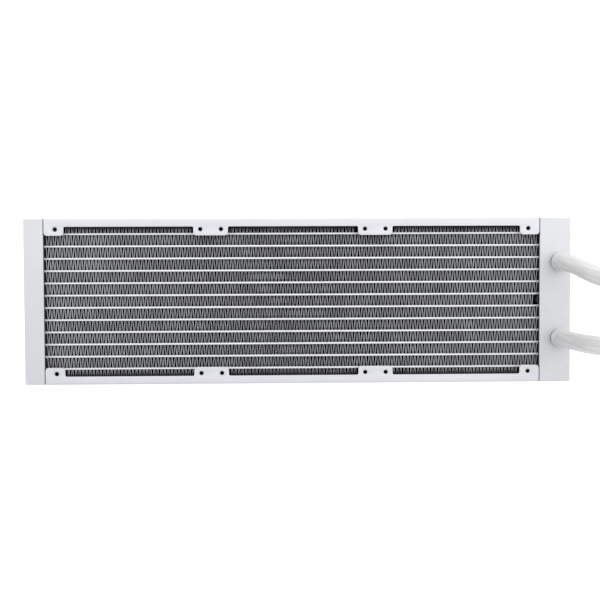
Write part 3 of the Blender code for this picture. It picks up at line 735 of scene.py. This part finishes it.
def thick_line(line, thickness):
    """The two sides of a line that has been given a thickness."""
    left, right = [], []
    for i, (x, y) in enumerate(line):
        ahead = Vector(line[min(i + 1, len(line) - 1)]) - Vector(line[max(i - 1, 0)])
        normal = Vector((-ahead.y, ahead.x)).normalized() * thickness / 2
        left.append((x + normal.x, y + normal.y))
        right.append((x - normal.x, y - normal.y))
    return left, right


def add_louvre(bm, start, end, z, tilt):
    """One slat turned out of a fin's wall, which runs from start to end across the row."""
    start, end = Vector(start), Vector(end)
    along = end - start
    normal = Vector((abs(along.y), -along.x * math.copysign(1, along.y))).normalized()
    wide = Vector((*(normal * math.sin(tilt)), math.cos(tilt))) * LOUVRE_WIDTH / 2
    thin = Vector((*(normal * math.cos(tilt)), -math.sin(tilt))) * LOUVRE_SHEET / 2
    loops = []
    for reach in (0.2, 0.8):
        middle = Vector((*(start + along * reach), z))
        front, back = middle + wide, middle - wide
        loops.append([front + thin, front - thin, back - thin, back + thin])
    rings(bm, loops)


def mark_unshaded_points(fins, centre, outer):
    """Marks which points of a fin row no flange or tab of a channel covers; the paint gives the others
    painted shade.
    """
    marks = []
    for v in fins.data.vertices:
        near_screw = min(abs(v.co.x - centre - x) for x in SCREW_XS) < END_TAB_REACH
        cover = outer - (TAB_DEPTH if near_screw else FLANGE_WIDTH) + 0.7 * MM
        marks.append(1.0 if abs(v.co.y) < cover else 0.0)
    fins.data.attributes.new("not_shaded_by_channel", "FLOAT", "POINT").data.foreach_set("value", marks)


def corrugated_strip(line, row, low_z, high_z):
    """A bmesh of one strip of foil along a line, leaning a little more or less at the front."""
    bm = bmesh.new()
    leans = [noise.noise(Vector((x * 90, row * 7.3, 0))) * FIN_WOBBLE for x, _ in line]
    back, front = [
        [
            [bm.verts.new((x + lean * share, y, z)) for (x, y), lean in zip(side, leans)]
            for side in thick_line(line, FIN_SHEET)
        ]
        for z, share in ((low_z, 0), (high_z, 1))
    ]
    for i in range(len(line) - 1):
        j = i + 1
        bm.faces.new((back[0][i], back[0][j], front[0][j], front[0][i]))
        bm.faces.new((back[1][j], back[1][i], front[1][i], front[1][j]))
        bm.faces.new((front[0][i], front[0][j], front[1][j], front[1][i]))
        bm.faces.new((back[0][j], back[0][i], back[1][i], back[1][j]))
    for i in (0, -1):
        bm.faces.new((back[0][i], front[0][i], front[1][i], back[1][i]))
    return bm


def make_fins(paint):
    """Thirteen rows of fine corrugated fins, with the louvres nearest to each face."""
    channel_low, channel_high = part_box("side_channel_far")
    centre = (channel_low.x + channel_high.x) / 2
    for node in sorted(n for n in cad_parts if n.startswith("fin_row")):
        low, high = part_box(node)
        row = node[-2:]
        line = fin_outline(
            low.x + FIN_START, high.x - FIN_END, low.y - FIN_REACH, high.y + FIN_REACH
        )
        bm = corrugated_strip(line, int(row), low.z, high.z)
        for i in range(len(CREST_ANGLES) - 1, len(line) - 1, len(CREST_ANGLES)):
            for count in range(LOUVRES):
                inset = LOUVRE_WIDTH / 2 + 0.15 * MM + LOUVRE_PITCH * count
                add_louvre(bm, line[i], line[i + 1], high.z - inset, math.radians(LOUVRE_TILT))
                add_louvre(bm, line[i], line[i + 1], low.z + inset, math.radians(-LOUVRE_TILT))
        fins = piece(f"fins_{row}", bm)
        mark_unshaded_points(fins, centre, channel_high.y)
        finish_piece(fins, paint, [node])


def make_tubes(paint):
    """Twelve flat tubes with rounded noses."""
    for node in sorted(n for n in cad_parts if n.startswith("flat_tube")):
        low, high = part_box(node)
        deep = high.z - low.z
        bm = bmesh.new()
        loops = []
        for inset in (0, TUBE_WALL):
            radius = TUBE_THICKNESS / 2 - inset
            half = deep / 2 - TUBE_THICKNESS / 2
            outline = arc((0, half), radius, 0, 180, 10) + arc((0, -half), radius, 180, 360, 10)
            loops.append([(y + (low.y + high.y) / 2, z + (low.z + high.z) / 2) for y, z in outline])
        outer, inner = loops
        ends = [(low.x, outer), (high.x, outer), (high.x, inner), (low.x, inner)]
        rings(bm, [[(x, y, z) for y, z in loop] for x, loop in ends], loop_of_rings=True)
        finish_piece(piece(f"tube_{node[-2:]}", bm), paint, [node])


# ---- tanks and channels ----------------------------------------------------------------------


def ring_at(x, inset, corner, low, high):
    """A rounded rectangle across the radiator, this far inside the tank's sides."""
    radius = max(corner - inset, 0.15 * MM)
    outline = filleted(
        [
            (low.y + inset, low.z + inset, radius), (high.y - inset, low.z + inset, radius),
            (high.y - inset, high.z - inset, radius), (low.y + inset, high.z - inset, radius),
        ],
        8,
    )
    return [(x, y, z) for y, z in outline]


def tank_bmesh(low, high, outward):
    """A tank shell: rounded outer end, a slightly raised band at its rim, open to the core."""
    end = high.x if outward > 0 else low.x
    rim = low.x if outward > 0 else high.x
    corner = EDGE_RADIUS + 0.6 * MM
    loops = []
    for x, across in arc((EDGE_RADIUS, EDGE_RADIUS), EDGE_RADIUS, 180, 90, 8):
        inset = 2 * EDGE_RADIUS - across + RIM_RELIEF
        loops.append(ring_at(end - outward * x, inset, corner, low, high))
    band = rim + outward * RIM_BAND
    fade = 0.5 * MM
    for x, inset in (
        (band + outward * fade, RIM_RELIEF), (band + outward * fade / 2, RIM_RELIEF * 0.8),
        (band, RIM_RELIEF * 0.2), (band - outward * fade / 2, 0), (rim + outward * 0.7 * MM, 0),
        (rim + outward * 0.25 * MM, 0.03 * MM), (rim + outward * 0.07 * MM, 0.1 * MM),
        (rim, 0.25 * MM), (rim, SHEET), (end - outward * SHEET, SHEET),
    ):
        loops.append(ring_at(x, inset, corner, low, high))
    bm = bmesh.new()
    rings(bm, loops)
    return bm


def make_tanks(paint, metal, black_rubber_and_shade):
    low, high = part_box("return_tank")
    tank = piece("return_tank_shell", tank_bmesh(low, high, -1), sharp=50)
    boss_low, boss_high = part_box("fill_port_boss")
    boss_y, boss_z = (boss_low.y + boss_high.y) / 2, (boss_low.z + boss_high.z) / 2
    at_end = Matrix.Translation((low.x, boss_y, boss_z)) @ LYING
    opening = 5.3 * MM
    combined(tank, cylinders([(0, 0)], opening, -4 * MM, 4 * MM, 96), "DIFFERENCE", at_end)
    soften(tank, 0.2 * MM, 2, 60)
    finish_piece(tank, paint, ["return_tank"])

    bore, neck, flange, deep = 4.15 * MM, 5.1 * MM, 6.5 * MM, 5 * MM
    boss = [
        (bore, 0.1 * MM), (bore, deep), (flange, deep), (flange, 1.5 * MM),
        (neck, 1.5 * MM), (neck, 0.1 * MM),
    ]
    radii = {0: 0.35 * MM, 5: 0.3 * MM}
    fill_boss = piece("fill_boss", turned(rounded(boss, radii), 96), at_end)
    finish_piece(fill_boss, metal, ["fill_port_boss"])

    plug_radius, socket, socket_depth, seat = 4 * MM, 1.6 * MM, 2 * MM, 3 * MM
    plug = [
        (0, deep), (0, socket_depth), (socket, socket_depth), (socket, 0.4 * MM),
        (plug_radius, 0.4 * MM), (plug_radius, seat), (plug_radius - MM, seat), (plug_radius - MM, deep),
    ]

    def hexagonal(angle, radius):
        if abs(radius - socket) > 0.35 * MM:
            return radius
        spread = (angle + math.pi / 6) % (math.pi / 3) - math.pi / 6
        return radius * math.cos(math.pi / 6) / math.cos(spread) + 0.1 * MM

    outline = rounded(plug, {3: 0.2 * MM, 4: 0.35 * MM})
    screw = piece("fill_screw", turned(outline, 96, hexagonal), at_end)
    finish_piece(screw, metal, ["fill_plug"])
    ring = arc((plug_radius - 0.3 * MM, seat + 0.95 * MM), 0.45 * MM, 0, 360, 16)[:-1]
    seal = piece("fill_o_ring", turned(ring, 64), at_end, sharp=180)
    finish_piece(seal, black_rubber_and_shade, ["fill_plug_seal"])

    low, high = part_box("port_tank")
    tank = piece("port_tank_shell", tank_bmesh(low, high, 1), sharp=50)
    finish_piece(tank, paint, ["port_tank"])


def channel_window(half, outer):
    """The outline cut from a channel's flanges: three windows, with tabs between them."""
    inner, rim = outer - TAB_DEPTH, outer - FLANGE_WIDTH
    past = 2 * MM
    corner = half + 0.02 * MM
    right_side = [
        (corner + past, inner + 3 * MM, 0), (corner, inner + 3 * MM, 0), (corner, inner, TAB_RADIUS)
    ]
    windows = []
    for fan in (2, 1, 0):
        start, end = SCREW_XS[2 * fan], SCREW_XS[2 * fan + 1]
        right = end - (END_TAB_REACH if fan == 2 else MIDDLE_TAB_REACH)
        left = start + (END_TAB_REACH if fan == 0 else MIDDLE_TAB_REACH)
        windows += [
            (right, inner, TAB_RADIUS), (right, rim, WINDOW_RADIUS),
            (left, rim, WINDOW_RADIUS), (left, inner, TAB_RADIUS),
        ]
    left_side = [(-x, y, radius) for x, y, radius in reversed(right_side)]
    base = inner - 4 * MM
    ends = [(-corner - past, base, 0), (corner + past, base, 0)]
    return filleted([*ends, *right_side, *windows, *left_side], 10)


def screw_collar(depth):
    """A formed and tapped screw hole: its lip, its threads and its torn lower edge."""
    pitch = 0.5 * MM
    profile = [
        (COLLAR_RADIUS + 0.02 * MM, 0), (COLLAR_RADIUS - 0.1 * MM, 0),
        (SCREW_RADIUS + 0.3 * MM, -0.05 * MM), (SCREW_RADIUS + 0.04 * MM, -0.25 * MM),
    ]
    turns = int((depth - 0.7 * MM) / pitch)
    for i in range(turns):
        level = -0.55 * MM - pitch * i
        profile += [(SCREW_RADIUS, level), (SCREW_RADIUS + 0.22 * MM, level - pitch / 2)]
    profile += [
        (SCREW_RADIUS + 0.1 * MM, -depth), (SCREW_RADIUS + 0.5 * MM, -depth),
        (COLLAR_RADIUS, -SHEET * 0.9),
    ]
    return turned(profile, 48)


def end_joint(x, inner, outer, top):
    """A dark strip of painted shade in the joint between a channel's end and a tank, a little below the
    metal round it.
    """
    web, deeper = outer - SHEET, 0.15 * MM
    section = [
        (inner + deeper, deeper, 0), (outer - deeper, deeper, BEND_RADIUS),
        (outer - deeper, top - deeper, BEND_RADIUS), (inner + deeper, top - deeper, 0),
        (inner + deeper, top - SHEET, 0), (web, top - SHEET, 0), (web, SHEET, 0),
        (inner + deeper, SHEET, 0),
    ]
    bm = flat_plate([filleted(section, 8)], JOINT_GAP)
    bm.transform(Matrix.Translation((x, 0, 0)) @ ALONG_X)
    return bm


def make_channels(paint, collar_paint_and_shade, joint_shade_paint):
    """The two side channels, each with its windows, screw holes and end joints. The joints' dark strips
    and the dark insides of the screw holes are painted shade.
    """
    for side, sign in SIDES.items():
        low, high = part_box(f"side_channel_{side}")
        outer = max(abs(low.y), abs(high.y))
        inner, top = outer - TAB_DEPTH, high.z
        web = outer - SHEET
        half = (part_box("port_tank")[0].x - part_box("return_tank")[1].x) / 2 - JOINT_GAP
        centre = (high.x + low.x) / 2
        section = filleted(
            [
                (inner, 0, 0), (outer, 0, BEND_RADIUS), (outer, top, BEND_RADIUS), (inner, top, 0),
                (inner, top - SHEET, 0), (web, top - SHEET, 0.4 * MM), (web, SHEET, 0.4 * MM),
                (inner, SHEET, 0),
            ],
            8,
        )
        channel = piece(f"channel_{side}", flat_plate([section], 2 * half), ALONG_X)
        window = flat_plate([channel_window(half, outer)], 4 * top)
        combined(channel, window, "DIFFERENCE", Matrix.Translation((0, 0, top / 2)))
        spots = [(x, SCREW_PITCH / 2) for x in SCREW_XS]
        combined(channel, cylinders(spots, COLLAR_RADIUS, -MM, top + MM, 48), "DIFFERENCE")
        soften(channel, 0.16 * MM, 2, 60)
        facing = Matrix.Rotation(0 if sign > 0 else math.pi, 4, "Z")
        turn = Matrix.Translation((centre, 0, 0)) @ facing
        channel.data.transform(turn)
        finish_piece(channel, paint, [f"side_channel_{side}"])

        # The end joints: dark strips of painted shade in the gaps next to the tanks.
        middle = half + JOINT_GAP / 2
        joints = joined([end_joint(x, inner, outer, top) for x in (-middle, middle)])
        finish_piece(piece(f"end_joints_{side}", joints, turn), joint_shade_paint)

        # Tapped collars in the screw holes, whose paint fades to painted shade inside them.
        collars = []
        for x, y in spots:
            for flip in (0, math.pi):
                collars.append(screw_collar(SHEET + COLLAR_DEPTH))
                level = Matrix.Translation((x, y, 0 if flip else top))
                collars[-1].transform(level @ Matrix.Rotation(flip, 4, "X"))
        collars = piece(f"screw_collars_{side}", joined(collars), turn)
        finish_piece(collars, collar_paint_and_shade)


# ---- everything ------------------------------------------------------------------------------

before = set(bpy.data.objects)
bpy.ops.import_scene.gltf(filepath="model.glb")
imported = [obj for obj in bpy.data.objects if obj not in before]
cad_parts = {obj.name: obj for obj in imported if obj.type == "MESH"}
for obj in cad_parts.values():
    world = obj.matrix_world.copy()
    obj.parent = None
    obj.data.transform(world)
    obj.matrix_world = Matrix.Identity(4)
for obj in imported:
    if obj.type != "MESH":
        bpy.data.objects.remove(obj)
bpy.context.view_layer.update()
bpy.context.scene.view_settings.view_transform = "Standard"

white = powder_coat("white_powder_coat", (0.745, 0.755, 0.775))
sleeve = sleeve_material()
plated = plated_material()
metal = bare_metal()
black_rubber_and_shade = rubber_material()
core_low, core_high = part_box("flat_tube_01")
core_middle = (core_low.z + core_high.z) / 2
core_half = (core_high.z - core_low.z) / 2
channel_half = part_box("side_channel_far")[1].z / 2
# The fins are white at the faces and fade to near black between them and under the channels' flanges and
# tabs: painted shade.
fin_paint_and_shade = paint_fading_to_shade(
    "fin_paint_and_depth_shade", (0.86, 0.87, 0.92), (0.003, 0.003, 0.004), 0.6 * MM, core_middle, core_half, True
)
# The tubes are white at the faces and fade to near black with depth: painted shade.
tube_paint_and_shade = paint_fading_to_shade(
    "tube_paint_and_depth_shade", (0.95, 0.96, 0.98), (0.02, 0.02, 0.022), 2.5 * MM, core_middle, core_half
)
# The collars' paint fades to near black inside the screw holes: painted shade in the holes.
collar_paint_and_shade = paint_fading_to_shade(
    "collar_paint_and_depth_shade", (0.745, 0.755, 0.775), (0.01, 0.01, 0.011), 1.2 * MM, core_middle, channel_half
)
channel_paint = powder_coat("channel_powder_coat", (0.785, 0.785, 0.82))
# A dark colour for the end joints and the header plates: painted shade in the gaps round the tanks.
joint_shade = powder_coat("painted_joint_shade", (0.07, 0.072, 0.075), 0.01, 0.6)

make_camera(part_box("port_tank")[1].z)
for name in SIDES:
    make_hose(name, sleeve, plated, black_rubber_and_shade)
    make_root_fitting(name, plated, white, black_rubber_and_shade)
make_studio()
make_shadow_card(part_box("side_channel_near")[0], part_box("side_channel_far")[1])
make_fins(fin_paint_and_shade)
make_tubes(tube_paint_and_shade)
make_tanks(white, metal, black_rubber_and_shade)
make_channels(channel_paint, collar_paint_and_shade, joint_shade)
# The header plates take the dark joint colour, painted shade in the gaps between the tanks' rims and the
# core; the core supports take the tubes' paint with its painted shade in depth.
for node, paint in {
    "return_header_plate": joint_shade, "port_header_plate": joint_shade,
    "core_support_near": tube_paint_and_shade, "core_support_far": tube_paint_and_shade, "port_baffle": metal,
}.items():
    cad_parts[node].data.materials.clear()
    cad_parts[node].data.materials.append(paint)
